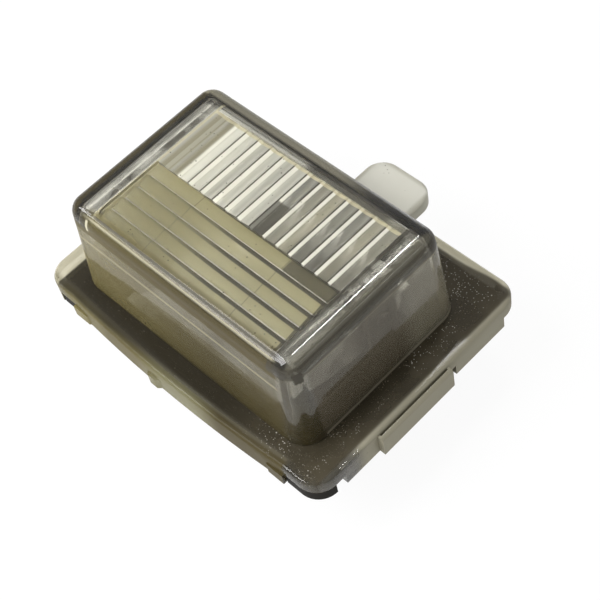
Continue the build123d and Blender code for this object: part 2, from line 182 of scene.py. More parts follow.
class Value:
    """A shader socket on which Python arithmetic adds Math nodes."""

    def __init__(self, shader, socket):
        self.shader = shader
        self.socket = socket

    def maths(self, operation, *values):
        """Adds a Math node over these values."""
        return self.shader.node("ShaderNodeMath", {"operation": operation}, dict(enumerate(values)))

    def __add__(self, other):
        return self.maths("ADD", self, other)

    def __sub__(self, other):
        return self.maths("SUBTRACT", self, other)

    def __rsub__(self, other):
        return self.maths("SUBTRACT", other, self)

    def __mul__(self, other):
        return self.maths("MULTIPLY", self, other)

    def __truediv__(self, other):
        return self.maths("DIVIDE", self, other)

    def __rtruediv__(self, other):
        return self.maths("DIVIDE", other, self)

    def __abs__(self):
        return self.maths("ABSOLUTE", self)

    __radd__ = __add__
    __rmul__ = __mul__

    def most(self, other):
        return self.maths("MAXIMUM", self, other)

    def least(self, other, soft=0.0):
        """The smaller value, with a rounded change from one to the other."""
        return self.maths("SMOOTH_MIN", self, other, soft)

    def floor(self):
        return self.maths("FLOOR", self)

    def fraction(self):
        return self.maths("FRACT", self)

    def step(self, start, full):
        """Smooth step from 0 at start to 1 at full, where start may be the larger."""
        return self.shader.node(
            "ShaderNodeMapRange",
            {"interpolation_type": "SMOOTHSTEP"},
            {"Value": self, "From Min": start, "From Max": full},
            "Result",
        )

    def between(self, low, high, soft):
        """1 between low and high, with an edge that fades over soft to each side of them."""
        return self.step(low - soft, low + soft) * self.step(high + soft, high - soft)


class Shader:
    """The node tree of a material or of the world."""

    # A Mix node's sockets for colours
    MIX_LOW, MIX_HIGH, MIX_RESULT = 6, 7, 2

    def __init__(self, owner):
        self.owner = owner
        owner.use_nodes = True
        self.tree = owner.node_tree
        self.tree.nodes.clear()

    def node(self, kind, settings=None, sockets=None, output=0):
        """Adds a node: its settings first, then the values or links of its sockets."""
        made = self.tree.nodes.new(kind)
        for name, value in (settings or {}).items():
            setattr(made, name, value)
        for name, value in (sockets or {}).items():
            socket = made.inputs[name]
            if isinstance(value, Value):
                self.tree.links.new(value.socket, socket)
            else:
                short = socket.type == "RGBA" and len(value) == 3
                socket.default_value = (*value, 1.0) if short else value
        return Value(self, made.outputs[output])

    @cached_property
    def place(self):
        """Object coordinates."""
        return self.node("ShaderNodeTexCoord", output="Object")

    def axes(self):
        """Object coordinates X, Y and Z in millimetres."""
        split = self.node("ShaderNodeSeparateXYZ", sockets={0: self.place}).socket.node
        return [Value(self, output) / MM for output in split.outputs]

    def rays(self, *kinds):
        """For each of these kinds, whether the ray is of that kind."""
        path = self.node("ShaderNodeLightPath").socket.node
        return [Value(self, path.outputs[f"Is {kind} Ray"]) for kind in kinds]

    def noise(self, size, detail=3.0, roughness=0.5, stretch=(1.0, 1.0, 1.0)):
        """Noise whose features are about this many millimetres."""
        place = self.node("ShaderNodeMapping", sockets={"Vector": self.place, "Scale": stretch})
        return self.node(
            "ShaderNodeTexNoise",
            sockets={"Vector": place, "Scale": 1 / (size * MM), "Detail": detail, "Roughness": roughness},
        )

    def specks(self, spacing, radius, share):
        """Round specks, one in each cell of this spacing, for this share of the cells."""
        cell = self.node(
            "ShaderNodeTexVoronoi",
            {"feature": "F1"},
            {"Vector": self.place, "Scale": 1 / (spacing * MM)},
            "Distance",
        )
        cell_colour = Value(self, cell.socket.node.outputs["Color"])
        chance = self.node("ShaderNodeSeparateColor", sockets={0: cell_colour})
        near = cell.step(radius / spacing, 0.5 * radius / spacing)
        return near * chance.step(share, share * 0.9)

    def blend(self, factor, low, high):
        """A colour between two others."""
        colours = {"Factor": factor, self.MIX_LOW: low, self.MIX_HIGH: high}
        return self.node("ShaderNodeMix", {"data_type": "RGBA"}, colours, self.MIX_RESULT)

    def layers(self, *layers):
        """Lays films one over another: how much they cover together, and their colour."""
        film, shade = layers[0]
        for cover, tint in layers[1:]:
            total = film + cover - film * cover
            shade = self.blend(cover / total, shade, tint)
            film = total
        return film, shade

    def bump(self, height, distance, strength):
        """A bump for Normal, with its distance in millimetres."""
        sockets = {"Height": height, "Distance": distance * MM, "Strength": strength}
        return self.node("ShaderNodeBump", sockets=sockets)

    def principled(self, **sockets):
        """A Principled shader, whose sockets are named in small letters."""
        titles = (name.replace("_", " ").title().replace("Ior", "IOR") for name in sockets)
        return self.node("ShaderNodeBsdfPrincipled", sockets=dict(zip(titles, sockets.values())))

    def mix(self, factor, low, high):
        """A shader between two others."""
        return self.node("ShaderNodeMixShader", sockets={0: factor, 1: low, 2: high})

    def done(self, surface, volume=None, output="ShaderNodeOutputMaterial"):
        """Links the shaders to the output, and gives back the material or the world."""
        out = self.tree.nodes.new(output)
        self.tree.links.new(surface.socket, out.inputs["Surface"])
        if volume:
            self.tree.links.new(volume.socket, out.inputs["Volume"])
        return self.owner


def material(name):
    """The empty shader of a new material."""
    return Shader(bpy.data.materials.new(name))


# In the names below, a pair holds two limits in millimetres: where a change starts and where it is
# full for step, or the low and high end for between.

# Prisms: a khaki film with painted shade and painted highlights along their steps
PRISM_FILM = (FIELD_FRONT - 0.6, DIVIDER)
PRISM_FILM_FADE = 0.05
PRISM_LINES = (FIELD_LEFT + 0.9, FIELD_LEFT + 1.3)
PRISM_LINES_STRONGER = (-14.0, 6.0)
PRISM_END = (FIELD_RIGHT - 0.7, FIELD_RIGHT - 0.5)
DIVIDER_LINE, DIVIDER_SHOWS = (DIVIDER - 0.25, DIVIDER + 0.05), (-12.0, -4.0)
# Two thin dark lines run across the prisms at these places
LEFT_CROSS_LINE, RIGHT_CROSS_LINE, CROSS_LINE_FADE = (-8.95, -8.80), (10.1, 10.25), 0.06
# A darker patch on the smooth strip, towards the field's right end
DARK_PATCH, DARK_PATCH_END = (10.2, 10.5), (FIELD_RIGHT, FIELD_RIGHT - 0.4)
PRISMS_DARKER = (0.0, -10.0)

# Prisms, as shares of one prism's pitch, counted from the divider; the dark line is painted shade on each
# step and the light line a painted highlight
DARK_LINE, DARK_LINE_GAIN, DARK_LINE_FADE = 0.12, 0.09, 0.04
LIGHT_LINE, LIGHT_LINE_FADE = (0.86, 0.97), 0.03
FIRST_DARK_LINE, FIRST_LIGHT_LINE = (0.90, 0.95), (0.80, 0.84)
SMOOTH_STRIP, DARK_PATCH_STRIP = (1.0, 0.9), (1.0, 0.96)


def prism_layers(shader, colours, field, x, y, grain):
    """Khaki film under the prisms, paler across each as painted shading, whose steps show as dark painted
    shade and bright painted highlights, stronger towards the right.
    """
    prisms = field * y.between(*PRISM_FILM, PRISM_FILM_FADE)
    count = (DIVIDER - y) / PRISM_PITCH
    along = count.fraction()
    ruled = prisms * x.step(*PRISM_LINES)
    right = x.step(*PRISM_LINES_STRONGER)
    dark_end = DARK_LINE + DARK_LINE_GAIN * right
    dark_part = along.step(dark_end + DARK_LINE_FADE, dark_end - DARK_LINE_FADE)
    dark = ruled * dark_part * count.step(*FIRST_DARK_LINE)
    light = ruled * along.between(*LIGHT_LINE, LIGHT_LINE_FADE) * count.step(*FIRST_LIGHT_LINE)
    divider = field * y.between(*DIVIDER_LINE, PRISM_FILM_FADE) * x.step(*DIVIDER_SHOWS)
    end = prisms * x.step(*PRISM_END)
    cross_lines = prisms * (x.between(*LEFT_CROSS_LINE, CROSS_LINE_FADE) + x.between(*RIGHT_CROSS_LINE, CROSS_LINE_FADE))
    dark_patch = prisms * count.step(*DARK_PATCH_STRIP) * x.step(*DARK_PATCH) * x.step(*DARK_PATCH_END)
    smooth = count.step(*SMOOTH_STRIP)
    darker = x.step(*PRISMS_DARKER) * (1 - smooth)
    # Each prism's film grows paler across it: painted shading of its sloping face, with grain and the smooth
    # strip varying the tone
    paler = along * 0.35 + grain * 0.20 + smooth * 0.12 - darker * 0.10
    khaki = shader.blend(paler, colours.khaki, colours.pale_light)
    return [
        (prisms * 0.92, shader.blend(darker * 0.25, khaki, colours.olive)),
        (cross_lines * 0.5, colours.grime_and_shade),
        (dark_patch * (0.60 + 0.35 * grain), colours.grime_and_shade),
        # Painted shade along each step, then a painted highlight beside it
        (dark * (0.26 + 0.69 * right), colours.grime_and_shade),
        (light * (0.50 + 0.35 * right), colours.white_reflection),
        # Painted shade at the field's right end and along the divider
        (end * 0.8, colours.grime_and_shade),
        (divider * 0.8, colours.grime_and_shade),
    ]


# Flutes: a painted reflection of the tray, with painted highlights on the ridges and painted shade in the
# grooves
FLUTE_FILM_FADE = 0.05
FLUTES_DULL, FLUTES_GREY = (-15.0, -15.4), (0.8, 1.0)
GROOVES_SHOW = (-16.0, -12.0)
FLUTE_GAP, FLUTE_GAP_FADE, FLUTE_GAP_BACK = (0.9, 3.6), 0.1, (1.2, 0.8)
FLUTE_SHADE, FLUTE_SHADE_FRONT = (7.0, 10.0), (2.0, -3.0)
FLUTE_TIPS = (FIELD_BACK - 0.6, FIELD_BACK - 0.5)

# Flutes, as shares of one flute's pitch, counted from the right
RIDGE_START, RIDGE_START_GAIN, RIDGE_END, RIDGE_FADE = 0.66, 0.06, 0.92, 0.04
GROOVE, GROOVE_FADE = (RIDGE_END, 1.03), 0.02
HOLLOW, HOLLOW_FADE = (0.1, 0.5), 0.2
DULL_MIDDLE, DULL_MIDDLE_FADE = (0.25, 0.55), 0.15


def flute_layers(shader, colours, field, x, y):
    """Films under the flutes, painting the tray's reflection: dull at the left, white in the middle, grey
    with white ridges at the right.
    """
    flutes = field * y.between(DIVIDER, FIELD_BACK, FLUTE_FILM_FADE)
    count = (FIELD_RIGHT - x) / FLUTE_PITCH
    across = count.fraction()
    chance = shader.node("ShaderNodeTexWhiteNoise", {"noise_dimensions": "1D"}, {"W": count.floor()})
    left = x.step(*FLUTES_DULL)
    right = x.step(*FLUTES_GREY)
    ridge = flutes * across.between(RIDGE_START + RIDGE_START_GAIN * right, RIDGE_END, RIDGE_FADE)
    groove = flutes * across.between(*GROOVE, GROOVE_FADE) * x.step(*GROOVES_SHOW)
    # Flutes grow greyer in their hollows, by a random amount for each: painted shading inside each flute
    greyer = 0.12 + chance * (0.42 + 0.46 * across.between(*HOLLOW, HOLLOW_FADE))
    bright = shader.blend(greyer, colours.white_reflection, colours.smoke)
    dull = shader.blend(chance, colours.ash, colours.smoke)
    gap = flutes * x.between(*FLUTE_GAP, FLUTE_GAP_FADE) * y.step(*FLUTE_GAP_BACK)
    shaded = flutes * x.step(*FLUTE_SHADE) * y.step(*FLUTE_SHADE_FRONT) * (1 - ridge)
    tips = flutes * y.step(*FLUTE_TIPS)
    return [
        (flutes * (0.80 - 0.15 * right), shader.blend(right, bright, dull)),
        (flutes * left * (0.92 - 0.55 * across.between(*DULL_MIDDLE, DULL_MIDDLE_FADE)), colours.stone),
        # Painted shade at the front right, painted highlights on the ridges, and painted shade in the grooves
        # and over the gap
        (shaded * 0.40, colours.grime_and_shade),
        (ridge * (0.92 - 0.70 * left), colours.white_reflection),
        (groove * 0.92, colours.grime_and_shade),
        (gap * 0.80, colours.grime_and_shade),
        (tips * 0.75, colours.pale_light),
    ]


# Roof: its underside, and its rounded shoulder beyond the flat
UNDERSIDE_TOP, UNDERSIDE_LOW = (DOME_TOP - 0.8, DOME_TOP - 1.2), (CEILING - 1.2, CEILING - 1.0)
FIELD_FADE = 0.05
SHOULDER_LOW, SHOULDER_OUT = (CEILING - 2.0, CEILING - 1.0), (0.0, 0.8)
SHOULDER_LEFT, SHOULDER_RIGHT = (-22.2, -22.8), (23.0, 23.8)
SHOULDER_BACK, SHOULDER_BACK_END = (8.6, 9.2), (14.0, 4.0)
SHOULDER_FRONT, SHOULDER_FRONT_DARKENS = (-18.0, -18.6), (-22.0, 8.0)
FRONT_LEFT_END, FRONT_RIGHT_END = (-22.5, -17.5), (22.0, 20.5)
# The front shoulder's dark line and brow are painted shade, its light line a painted highlight
FRONT_DARK_LINE, FRONT_LIGHT_LINE, FRONT_LINE_FADE = (-19.85, -19.45), (-20.38, -20.10), 0.1
FRONT_BROW = (-20.5, -20.7)

# Roof: the margins round the prisms and flutes, and the gutter before them, all painted shade
GUTTER_HEIGHT, GUTTER_FADE = (32.5, 34.8), 0.2
GUTTER_BACK, GUTTER_FRONT = (FIELD_FRONT + 0.1, FIELD_FRONT - 0.1), (-20.2, -19.9)
GUTTER_LEFT_END, GUTTER_DARKENS = (-22.0, -19.0), (-12.0, -2.0)
LEFT_MARGIN, LEFT_MARGIN_FADE = (FIELD_LEFT - 1.5, FIELD_LEFT - 0.3), 0.2
LEFT_LINE, LEFT_LINE_FADE = (FIELD_LEFT - 0.2, FIELD_LEFT + 0.3), 0.1
BACK_MARGIN = (FIELD_BACK, FIELD_BACK + 0.2)
BACK_MARGIN_DARKER, BACK_MARGIN_FADE = (0.0, 17.0), 1.0
RIGHT_MARGIN, RIGHT_MARGIN_DARKER = (FIELD_RIGHT, FIELD_RIGHT + 0.2), (FIELD_RIGHT + 1.0, FIELD_RIGHT + 0.5)


def roof_layers(shader, colours, x, y, z, cloud, grain, streaks):
    """Films on the roof's shoulder and under it: painted shade in the margins round the prisms and flutes and
    in a gutter, and on the shoulder.
    """
    under = z.step(*UNDERSIDE_TOP) * z.step(*UNDERSIDE_LOW)
    field = under * x.between(FIELD_LEFT, FIELD_RIGHT, FIELD_FADE)
    out_x = abs(x) - FLAT_HALF_LENGTH
    out_y = abs(y - DOME_CENTRE_Y) - FLAT_HALF_WIDTH
    shoulder = z.step(*SHOULDER_LOW) * out_x.most(out_y).step(*SHOULDER_OUT)
    front = shoulder * x.step(*FRONT_RIGHT_END) * x.step(*FRONT_LEFT_END)
    front_film = shader.blend(x.step(*SHOULDER_FRONT_DARKENS), colours.olive, colours.moss)
    dark_line = front * y.between(*FRONT_DARK_LINE, FRONT_LINE_FADE)
    light_line = front * y.between(*FRONT_LIGHT_LINE, FRONT_LINE_FADE)
    brow = front * y.step(*FRONT_BROW)
    behind = shoulder * y.step(*SHOULDER_BACK) * x.step(*SHOULDER_BACK_END)
    left = shoulder * x.step(*SHOULDER_LEFT)
    right = shoulder * x.step(*SHOULDER_RIGHT)
    gutter = z.between(*GUTTER_HEIGHT, GUTTER_FADE) * y.step(*GUTTER_BACK) * y.step(*GUTTER_FRONT)
    gutter_film = shader.blend(x.step(*GUTTER_DARKENS), colours.khaki, colours.grime_and_shade)
    margin = under * (1 - field)
    left_margin = margin * x.between(*LEFT_MARGIN, LEFT_MARGIN_FADE)
    left_line = under * x.between(*LEFT_LINE, LEFT_LINE_FADE)
    back_margin = under * y.step(*BACK_MARGIN)
    back_darker = x.between(*BACK_MARGIN_DARKER, BACK_MARGIN_FADE)
    right_margin = margin * x.step(*RIGHT_MARGIN)
    return [
        # Painted shade darkens the left shoulder
        (left * (0.35 + 0.2 * cloud), colours.moss),
        (right * 0.22, colours.stone),
        (behind * 0.50, colours.stone),
        (front * y.step(*SHOULDER_FRONT) * (0.35 + 0.15 * cloud), front_film),
        # Painted shade in a line and on the brow, and a painted highlight, along the front shoulder
        (dark_line * (0.60 + 0.25 * grain), colours.grime_and_shade),
        (light_line * 0.40, colours.pale_light),
        (brow * 0.70, colours.moss),
        # Painted shade in the margins and the gutter, darker next to the field's right end and behind its
        # middle
        (margin * (0.10 + 0.30 * streaks.step(0.42, 0.58)), colours.grime_and_shade),
        (left_margin * (0.45 + 0.5 * cloud.step(0.35, 0.6)), colours.grime_and_shade),
        (back_margin * (0.40 + 0.45 * back_darker), colours.grime_and_shade),
        (right_margin * (0.55 + 0.3 * x.step(*RIGHT_MARGIN_DARKER)), colours.grime_and_shade),
        (gutter * x.step(*GUTTER_LEFT_END) * 0.90, gutter_film),
        *prism_layers(shader, colours, field, x, y, grain),
        *flute_layers(shader, colours, field, x, y),
        (left_line * 0.7, colours.pale_light),
    ]


# Walls: their middle surface at the foot splits the outer film from the inner one
WALL_FOOT, WALL_TOP = (FLANGE_TOP, FLANGE_TOP + 0.4), (CEILING - 0.2, CEILING - 1.2)
WALL_MIDDLE_X, WALL_MIDDLE_Y = (DOME_LENGTH - LENS_WALL) / 2, (DOME_WIDTH - LENS_WALL) / 2
WALL_MIDDLE_FADE = 0.3
FRONT_WALL, FRONT_WALL_DARKENS = (-17.5, -18.5), (-24.0, 10.0)
RIGHT_WALL, RIGHT_WALL_CLEARER = (22.8, 23.6), (-1.0, 4.0)
NEAR_CORNER = (21.0, 23.5)
FOOT_FILM, FOOT_LINE = (FLANGE_TOP + 4.0, FLANGE_TOP + 0.5), (FLANGE_TOP + 1.2, FLANGE_TOP + 0.6)
# The front wall's brow is painted shade along its top, and the brow line a painted highlight below it
WALL_BROW = (32.3, 32.7)
WALL_BROW_LINE, WALL_BROW_LINE_FADE = (29.7, 30.3), 0.3


def wall_layers(shader, colours, x, y, z, cloud):
    """Greenish film on both sides of the front wall, with painted shade along its top and a painted highlight
    below it, and a brownish one on the right wall.
    """
    wall = z.step(*WALL_FOOT) * z.step(*WALL_TOP)
    lean = (z - FLANGE_TOP) * tan(DOME_DRAFT)
    inner_x = (abs(x) + lean).step(WALL_MIDDLE_X + WALL_MIDDLE_FADE, WALL_MIDDLE_X - WALL_MIDDLE_FADE)
    from_centre = abs(y - DOME_CENTRE_Y) + lean
    inner_y = from_centre.step(WALL_MIDDLE_Y + WALL_MIDDLE_FADE, WALL_MIDDLE_Y - WALL_MIDDLE_FADE)
    inner = inner_x * inner_y
    outer = 1 - inner
    front = wall * y.step(*FRONT_WALL)
    front_film = shader.blend(x.step(*FRONT_WALL_DARKENS), colours.sage, colours.fern)
    right = wall * x.step(*RIGHT_WALL) * (1 - front)
    clearer = y.step(*RIGHT_WALL_CLEARER)
    corner = x.step(*NEAR_CORNER)
    foot = wall * z.step(*FOOT_FILM)
    foot_line = right * z.step(*FOOT_LINE)
    brow = front * z.step(*WALL_BROW)
    brow_line = front * z.between(*WALL_BROW_LINE, WALL_BROW_LINE_FADE)
    return [
        (wall * (0.06 + 0.08 * cloud), colours.grime_and_shade),
        (front * outer * (1 - 0.6 * corner) * (0.50 + 0.24 * cloud), front_film),
        (front * inner * 0.45, front_film),
        (right * outer * (0.50 + 0.14 * cloud - 0.20 * clearer), colours.haze),
        (right * outer * clearer * 0.14, colours.pale_light),
        (right * inner * (0.62 - 0.45 * clearer), colours.soot),
        (foot * inner * 0.30, colours.moss),
        # Painted shade along the front wall's top, and a painted highlight line below it
        (brow * outer * (1 - corner) * 0.70, colours.moss),
        (brow_line * outer * (1 - corner) * (0.06 + 0.20 * cloud), colours.pale_light),
        (foot_line * outer * 0.40, colours.stone),
    ]


# Flange: its dark deck, and the rim round it with light through the plastic's edges painted on, measured in
# from the edges
FLANGE_HEIGHT = (FLANGE_TOP + 0.4, FLANGE_TOP)
EDGE_ROUNDING = 2.0
RIM_WIDTH, RIM_WIDER_LEFT, RIM_NARROWER_RIGHT = 1.4, 1.8, 0.7
RIM_FADE, DECK_FADE, RIM_OVERLAP = 1.0, 0.6, 0.1
RIM_RIGHT, RIM_LEFT, RIM_RIGHT_END = (29.0, 30.5), (-26.0, -29.0), (20.0, 28.0)
RIM_CORNER_X, RIM_CORNER_Y = (24.2, 25.4), (-15.0, -19.0)
FRONT_RIM = (2.2, 0.8)
FRONT_MIDDLE, FRONT_MIDDLE_FADE = (-5.0, 8.0), 4.0
FRONT_RIM_DARKENS_FIRST, FRONT_RIM_DARKENS_LAST = (-19.0, -15.0), (-8.0, 12.0)
DECK_FRONT_START, DECK_FRONT_FULL, DECK_FRONT_GAIN = -0.4, 0.6, 1.7
DECK_FRONT_WIDENS = (-22.0, 0.0)
DECK_PALER = (8.0, 26.0)
DUSTY_RIGHT, DUSTY_FROM_EDGE = (14.0, 22.0), (1.5, 4.0)
TAB_START, TAB_EDGE = (FLANGE_BACK - 0.2, FLANGE_BACK + 0.2), (-1.3, -0.5)


def flange_layers(shader, colours, x, y, z, cloud, grain):
    """Brown film over the flange, a paler rim painted as light coming through the edges, the frosted tab and
    scattered specks.
    """
    flange = z.step(*FLANGE_HEIGHT)
    sides = (FLANGE_HALF_LENGTH - abs(x)).least(FLANGE_BACK - y, EDGE_ROUNDING)
    bow = (x * x / BOW_HALF_LENGTH ** 2 - 1).least(0.0) * FRONT_BOW
    from_front = y - (bow + FLANGE_FRONT)
    tab = flange * y.step(*TAB_START)
    tab_out = (abs(x - TAB_X) - TAB_WIDTH / 2).most(y - TAB_END)
    near_corner = x.step(*RIM_CORNER_X) * y.step(*RIM_CORNER_Y)
    front = from_front.step(*FRONT_RIM)
    right = x.step(*RIM_RIGHT)
    left = x.step(*RIM_LEFT)
    narrower = x.step(*RIM_RIGHT_END).most(near_corner)
    reach = RIM_WIDTH + RIM_WIDER_LEFT * left - RIM_NARROWER_RIGHT * narrower
    deck_full = DECK_FRONT_FULL + DECK_FRONT_GAIN * x.step(*DECK_FRONT_WIDENS)
    off_tab = flange * (1 - tab)
    deck = off_tab * sides.step(reach, reach + DECK_FADE) * from_front.step(DECK_FRONT_START, deck_full)
    side_rim = 1 - sides.step(reach - RIM_OVERLAP, reach + RIM_FADE)
    rim = off_tab * side_rim.most(front) * (1 - 0.9 * near_corner)
    middle = x.between(*FRONT_MIDDLE, FRONT_MIDDLE_FADE)
    rim_darkens = 0.5 * x.step(*FRONT_RIM_DARKENS_FIRST) + 0.5 * x.step(*FRONT_RIM_DARKENS_LAST)
    front_shade = shader.blend(middle, shader.blend(rim_darkens, colours.olive, colours.moss), colours.edge)
    side_shade = shader.blend(front, colours.pale_light, front_shade)
    rim_shade = shader.blend(right.most(left * 0.45), side_shade, colours.stone)
    denser = right.most(front * (1 - middle) * (1 - left))
    deck_shade = shader.blend(x.step(*DECK_PALER) * cloud * 0.8, colours.deck, colours.soot)
    patches = 0.04 + 0.96 * x.step(*DUSTY_RIGHT) * cloud.step(0.36, 0.54)
    dusty = deck * patches * sides.step(*DUSTY_FROM_EDGE)
    fine_specks = shader.specks(spacing=0.34, radius=0.085, share=0.70) * grain.step(0.36, 0.5)
    coarse_specks = shader.specks(spacing=1.1, radius=0.15, share=0.30)
    return [
        # Painted light coming through the rim's edges: paler at the left, greener at the front's middle and
        # darker away from it
        (rim * (0.65 + 0.27 * denser), rim_shade),
        (deck * (0.84 + 0.08 * cloud), deck_shade),
        (tab * (0.68 + 0.10 * cloud), colours.frost),
        (tab * tab_out.step(*TAB_EDGE) * 0.5, colours.stone),
        (fine_specks * dusty * 0.85, colours.dust),
        (coarse_specks * dusty * 0.70, colours.dust),
    ]


PLASTIC_IOR, GLASS_IOR = 1.49, 1.5
YELLOWING_DENSITY = 120.0
BASE_RIM = (13.9, 14.25)


def lens_finish_and_painted_light(colours):
    """Clear plastic, yellowed in its depth, under films of haze, dust and grime, and of painted shade,
    highlights and reflections on the optics, roof, walls and rim.
    """
    shader = material("clear_lens")
    x, y, z = shader.axes()
    cloud = shader.noise(size=6.0, detail=4.0)
    grain = shader.noise(size=0.4, roughness=0.65)
    streaks = shader.noise(size=0.9, roughness=0.6, stretch=(1.0, 0.12, 1.0))
    spotted = shader.noise(size=4.0, detail=2.0).step(0.52, 0.60)
    spots = shader.specks(spacing=0.9, radius=0.16, share=0.5) * spotted
    film, shade = shader.layers(
        (0.01 + 0.02 * cloud.step(0.4, 0.75), colours.dust),
        *wall_layers(shader, colours, x, y, z, cloud),
        *roof_layers(shader, colours, x, y, z, cloud, grain, streaks),
        *flange_layers(shader, colours, x, y, z, cloud, grain),
        (spots * 0.75, colours.grime_and_shade),
    )
    clear = shader.principled(
        base_color=colours.clear,
        roughness=0.03 + 0.08 * cloud.step(0.4, 0.8),
        ior=PLASTIC_IOR,
        transmission_weight=1.0,
    )
    dirt = shader.principled(base_color=shade, roughness=0.55, specular_ior_level=0.15)
    yellowing = {"Color": colours.depth, "Density": YELLOWING_DENSITY}
    volume = shader.node("ShaderNodeVolumeAbsorption", sockets=yellowing)
    return shader.done(shader.mix(film, clear, dirt), volume)


def base_finish(colours):
    """Black moulded plastic with brown dust on its rim."""
    shader = material("black_plastic")
    z = shader.axes()[2]
    patches = shader.noise(size=3.0, detail=5.0, roughness=0.6).step(0.3, 0.7)
    dusty = patches * (0.06 + 0.94 * z.step(*BASE_RIM))
    return shader.done(
        shader.principled(
            base_color=shader.blend(dusty, colours.base, colours.soil),
            roughness=0.50 + 0.35 * dusty,
            specular_ior_level=0.03,
            normal=shader.bump(shader.noise(size=0.25), distance=0.02, strength=0.4),
        )
    )


def rubber_finish(colours):
    """Soft black rubber with a pale bloom."""
    shader = material("seal_rubber")
    bloom = shader.noise(size=2.0, detail=4.0).step(0.45, 0.8)
    return shader.done(
        shader.principled(
            base_color=shader.blend(bloom * 0.08, colours.rubber, colours.dust),
            roughness=0.7 + 0.2 * bloom,
            normal=shader.bump(shader.noise(size=0.3), distance=0.03, strength=0.5),
        )
    )


def metal_finish(name, shade, grime_and_shade, tarnish, roughness, stretch=(1.0, 1.0, 1.0), metallic=1.0):
    """Metal with fine marks, which may be stretched along the piece, and patches of tarnish."""
    shader = material(name)
    patches = shader.noise(size=2.5, detail=4.0, roughness=0.6).step(0.5, 0.85) * tarnish
    marks = shader.noise(size=0.3, detail=4.0, roughness=0.6, stretch=stretch)
    return shader.done(
        shader.principled(
            base_color=shader.blend(patches, shade, grime_and_shade),
            metallic=metallic - 0.5 * patches,
            roughness=roughness + 0.25 * patches + 0.08 * marks,
            normal=shader.bump(marks, distance=0.01, strength=0.3),
        )
    )


def glass_finish(colours):
    """Clear bulb glass with faint smears."""
    shader = material("bulb_glass")
    smear = shader.noise(size=3.0).step(0.5, 0.9)
    return shader.done(
        shader.principled(
            base_color=colours.glass,
            roughness=0.01 + 0.08 * smear,
            ior=GLASS_IOR,
            transmission_weight=1.0,
        )
    )


MERGE_DISTANCE = 0.001 * MM
SHARP_EDGE = radians(50)


def merged_copy(name, node, finish):
    """A piece that stands for a CAD node: its mesh merged, and smooth apart from its sharp edges."""
    bm = bmesh.new()
    bm.from_mesh(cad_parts[node].data)
    bmesh.ops.remove_doubles(bm, verts=bm.verts, dist=MERGE_DISTANCE)
    for face in bm.faces:
        face.smooth = True
        face.material_index = 0
    for edge in bm.edges:
        edge.smooth = len(edge.link_faces) == 2 and edge.calc_face_angle(0.0) < SHARP_EDGE
    mesh = bpy.data.meshes.new(name)
    bm.to_mesh(mesh)
    bm.free()
    mesh.materials.append(finish)
    piece = bpy.data.objects.new(name, mesh)
    bpy.context.scene.collection.objects.link(piece)
    weighted = piece.modifiers.new("weighted_normals", "WEIGHTED_NORMAL")
    weighted.keep_sharp = True
    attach(piece, BODY)
    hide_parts(node)


def dress(node, finish):
    """Gives a CAD node its finish."""
    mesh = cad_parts[node].data
    mesh.materials.clear()
    mesh.materials.append(finish)


class LAMP_OT_lens(bpy.types.Operator):
    """Make the clear lens from the merged solid"""

    bl_idname = "lamp.lens"
    bl_label = "Lens"

    def execute(self, context):
        merged_copy("lens_clear", "lens", lens_finish_and_painted_light(context.scene.lamp_colours))
        return {"FINISHED"}


class LAMP_OT_base(bpy.types.Operator):
    """Finish the base and its seal"""

    bl_idname = "lamp.base"
    bl_label = "Base and seal"

    def execute(self, context):
        dress("base_housing", base_finish(context.scene.lamp_colours))
        dress("lens_seal", rubber_finish(context.scene.lamp_colours))
        return {"FINISHED"}


class LAMP_OT_tray(bpy.types.Operator):
    """Finish the bright tray"""

    bl_idname = "lamp.tray"
    bl_label = "Reflector tray"

    def execute(self, context):
        colours = context.scene.lamp_colours
        bright = metal_finish("bright_tray", colours.tray, colours.grime_and_shade, tarnish=0.15, roughness=0.12)
        dress("reflector_tray", bright)
        return {"FINISHED"}


class LAMP_OT_bulb(bpy.types.Operator):
    """Finish the bulb's glass, caps and filament"""

    bl_idname = "lamp.bulb"
    bl_label = "Bulb"

    def execute(self, context):
        colours = context.scene.lamp_colours
        dress("bulb_glass", glass_finish(colours))
        cap = metal_finish("cap_metal", colours.cap, colours.grime_and_shade, tarnish=0.4, roughness=0.22)
        for side in ("left", "right"):
            dress(f"bulb_cap_{side}", cap)
        wire = metal_finish("filament_wire", colours.wire, colours.grime_and_shade, tarnish=0.2, roughness=0.4)
        dress("bulb_filament", wire)
        return {"FINISHED"}


class LAMP_OT_contacts(bpy.types.Operator):
    """Finish the contact strips, their rivets and the retaining spring"""

    bl_idname = "lamp.contacts"
    bl_label = "Contacts and spring"

    def execute(self, context):
        colours = context.scene.lamp_colours
        strip = metal_finish(
            "contact_brass",
            colours.brass,
            colours.grime_and_shade,
            tarnish=0.35,
            roughness=0.28,
            stretch=(1.0, 0.1, 1.0),
            metallic=0.55,
        )
        rivet = metal_finish("rivet_brass", colours.rivet, colours.grime_and_shade, tarnish=0.4, roughness=0.3)
        for side in ("left", "right"):
            dress(f"contact_{side}", strip)
            dress(f"contact_rivet_{side}", rivet)
        spring = metal_finish(
            "spring_steel", colours.steel, colours.grime_and_shade, tarnish=0.4, roughness=0.3, stretch=(0.1, 1.0, 1.0)
        )
        dress("retaining_spring", spring)
        return {"FINISHED"}


# Stage, in metres
WHITE = (1.0, 1.0, 1.0)
FLOOR_HALF_SIZE = 3.0
FLOOR_GAP = 0.0002
KEY_SIZE, KEY_PLACE = (0.30, 0.30), (-0.14, -0.26, 0.36)
EDGE_SIZE, EDGE_PLACE = (0.04, 0.08), (-0.04, 0.125, 0.373)

# How white the floor is to the camera, and as seen in metal and through glass
FLOOR_WHITE_TO_CAMERA, FLOOR_WHITE_IN_LAMP = 0.94, 0.35


